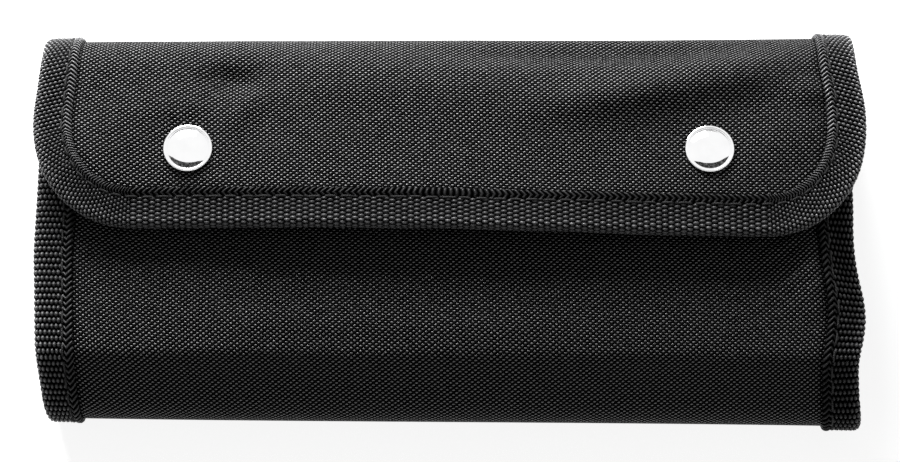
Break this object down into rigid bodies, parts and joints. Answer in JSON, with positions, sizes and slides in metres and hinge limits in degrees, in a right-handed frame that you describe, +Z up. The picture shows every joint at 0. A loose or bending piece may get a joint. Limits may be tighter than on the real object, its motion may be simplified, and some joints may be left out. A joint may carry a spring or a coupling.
{
  "type": "knife case",
  "caption": "Soft-sided knife case of black woven nylon with bound edges and a fold-over flap that closes on press studs.",
  "frame": {"origin": "middle of the rectangle that the case covers, on the surface that its back lies on", "axes": "+X along the folds, to the right as the flap is seen; +Y from the bottom fold to the top fold; +Z up, out of the front"},
  "size_m": [0.252, 0.121, 0.038],
  "materials": {
    "outer_fabric": "coarse plain-weave nylon",
    "binding_tape": "ribbed nylon webbing",
    "lining_fabric": "fine nylon",
    "elastic": "woven elastic",
    "stiff_board": "matte polyethylene board",
    "foam": "closed-cell foam",
    "polished_metal": "polished nickel plate",
    "plated_metal": "nickel plate"
  },
  "bodies": {
    "case": {"outer_shell": "outer_fabric", "back_board": "stiff_board", "base_board": "stiff_board", "front_board": "stiff_board", "bend_foam": "foam", "case_lining": "lining_fabric", "gusset_left": "outer_fabric", "gusset_right": "outer_fabric", "case_binding_left": "binding_tape", "case_binding_right": "binding_tape", "mouth_binding": "binding_tape", "gusset_binding_left": "binding_tape", "gusset_binding_right": "binding_tape", "knife_strap_left": "elastic", "knife_strap_right": "elastic", "slip_pocket": "lining_fabric", "pocket_hem": "elastic", "snap_studs": "plated_metal", "stud_eyelets": "plated_metal"},
    "spine": {"spine_outer": "outer_fabric", "spine_foam": "foam", "spine_lining": "lining_fabric", "spine_binding_left": "binding_tape", "spine_binding_right": "binding_tape"},
    "flap": {"flap_outer": "outer_fabric", "flap_core": "stiff_board", "flap_lining": "lining_fabric", "flap_binding": "binding_tape", "snap_caps": "polished_metal", "snap_sockets": "plated_metal", "socket_springs": "plated_metal"}
  },
  "joints": [
    {"name": "back_hinge", "type": "hinge", "parent": "case", "child": "spine", "pos_m": [0, 0.056, 0.0045], "axis": [-1, 0, 0], "range_deg": [0, 90]},
    {"name": "front_hinge", "type": "hinge", "parent": "spine", "child": "flap", "pos_m": [0, 0.05632, 0.02952], "axis": [-1, 0, 0], "range_deg": [0, 86]}
  ]
}
